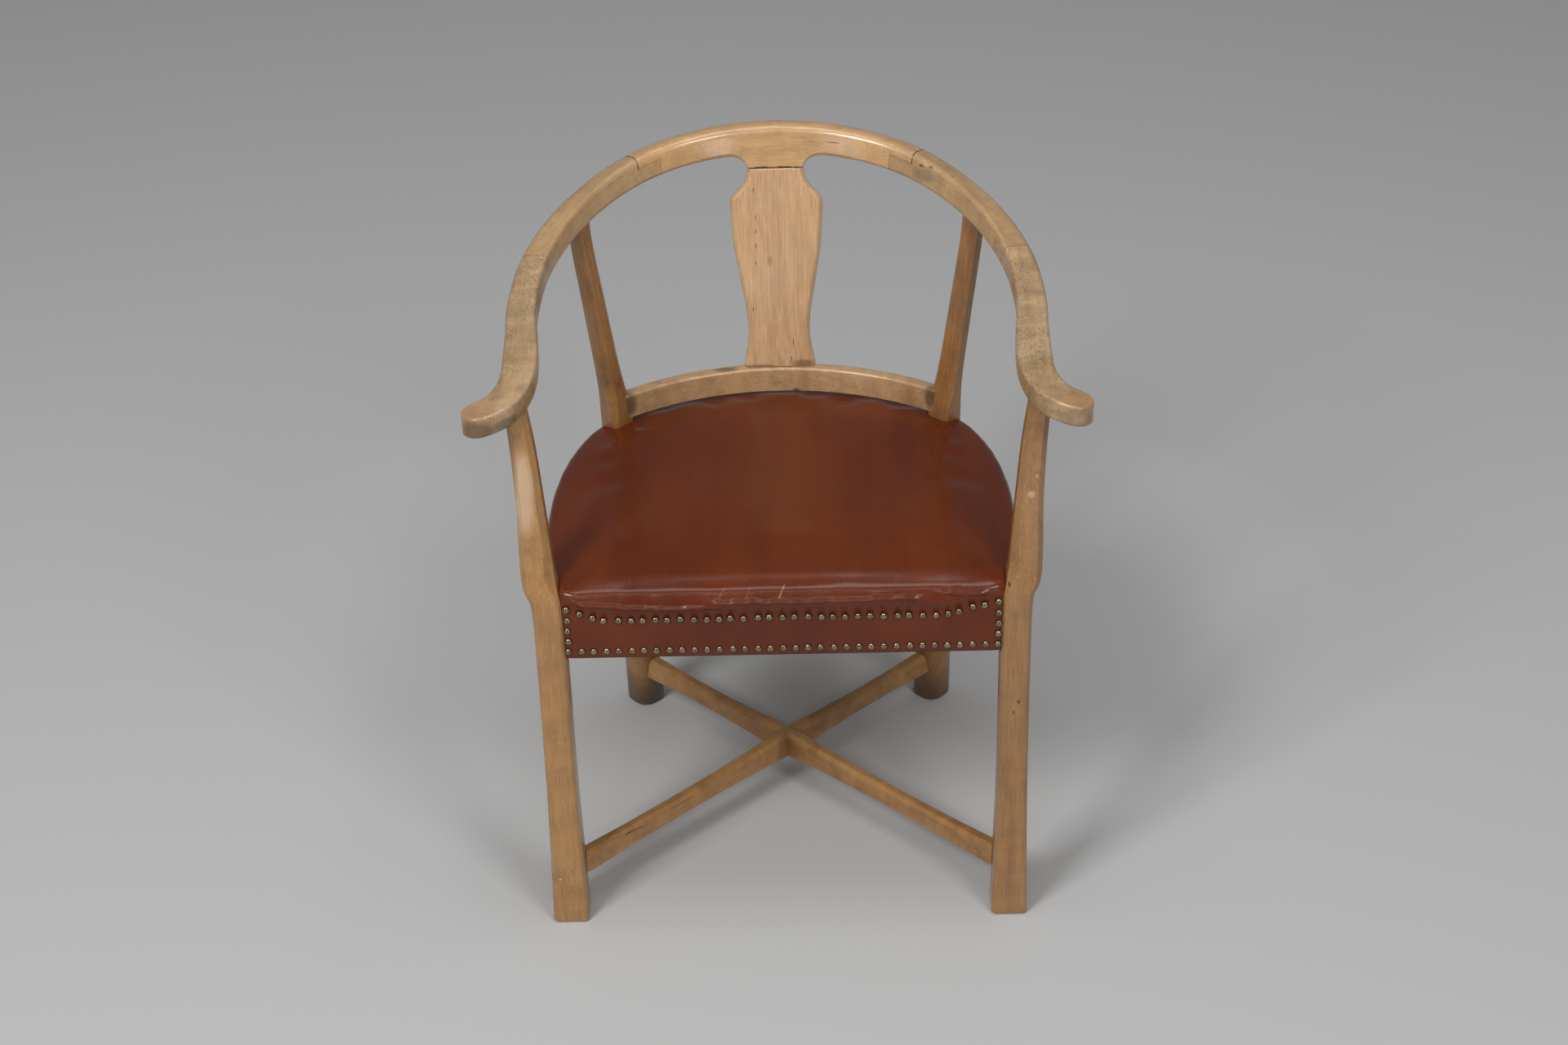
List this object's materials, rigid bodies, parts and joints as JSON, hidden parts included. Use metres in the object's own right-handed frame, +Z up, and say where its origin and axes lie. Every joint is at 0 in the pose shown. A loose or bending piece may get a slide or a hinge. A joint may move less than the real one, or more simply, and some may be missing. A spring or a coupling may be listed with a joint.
{
  "type": "armchair",
  "caption": "Armchair with a horseshoe-shaped top rail, a vase-shaped splat, crossed stretchers and a nailed leather seat.",
  "frame": {"origin": "centre of the bounding box at floor level, under the seat", "axes": "+X to the right for someone looking at the front, +Y towards the back, +Z up"},
  "size_m": [0.6446, 0.4666, 0.7793],
  "materials": {
    "rail_wood": "worn clear lacquer on light wood",
    "leg_wood": "worn clear lacquer on light wood",
    "dark_wood": "worn and darkened lacquer",
    "inside_wood": "bare wood out of sight",
    "leather": "smooth reddish brown, soft gloss, worn at the front edge",
    "stuffing": "fibre under canvas",
    "webbing": "plain jute straps",
    "nail_brass": "aged brass domes",
    "screw_steel": "plain"
  },
  "bodies": {
    "root": {"crest_rail": "rail_wood", "shoulder_rail_right": "rail_wood", "shoulder_rail_left": "rail_wood", "arm_right": "rail_wood", "arm_left": "rail_wood", "crest_dowel_right": "inside_wood", "crest_dowel_left": "inside_wood", "arm_dowel_right": "inside_wood", "arm_dowel_left": "inside_wood", "back_splat": "rail_wood", "shoe_rail": "leg_wood", "rear_leg_right": "dark_wood", "rear_leg_left": "dark_wood", "front_leg_right": "leg_wood", "front_leg_left": "leg_wood", "stretcher_over": "dark_wood", "stretcher_under": "dark_wood", "front_seat_rail": "inside_wood", "side_seat_rail_right": "inside_wood", "side_seat_rail_left": "inside_wood", "rear_seat_rail": "inside_wood", "corner_block_front_right": "inside_wood", "corner_block_front_left": "inside_wood", "corner_block_rear_right": "inside_wood", "corner_block_rear_left": "inside_wood", "block_screw_front_right": "screw_steel", "block_screw_front_left": "screw_steel", "block_screw_side_front_right": "screw_steel", "block_screw_side_front_left": "screw_steel", "block_screw_side_rear_right": "screw_steel", "block_screw_side_rear_left": "screw_steel", "block_screw_rear_right": "screw_steel", "block_screw_rear_left": "screw_steel", "webbing_long_1": "webbing", "webbing_long_2": "webbing", "webbing_long_3": "webbing", "webbing_cross_1": "webbing", "webbing_cross_2": "webbing", "webbing_cross_3": "webbing", "seat_leather": "leather", "seat_padding": "stuffing", "front_nails_bottom": "nail_brass", "front_nails_top": "nail_brass", "front_nails_right": "nail_brass", "front_nails_left": "nail_brass", "side_nails_right": "nail_brass", "side_nails_left": "nail_brass", "rear_nails": "nail_brass"}
  },
  "joints": []
}
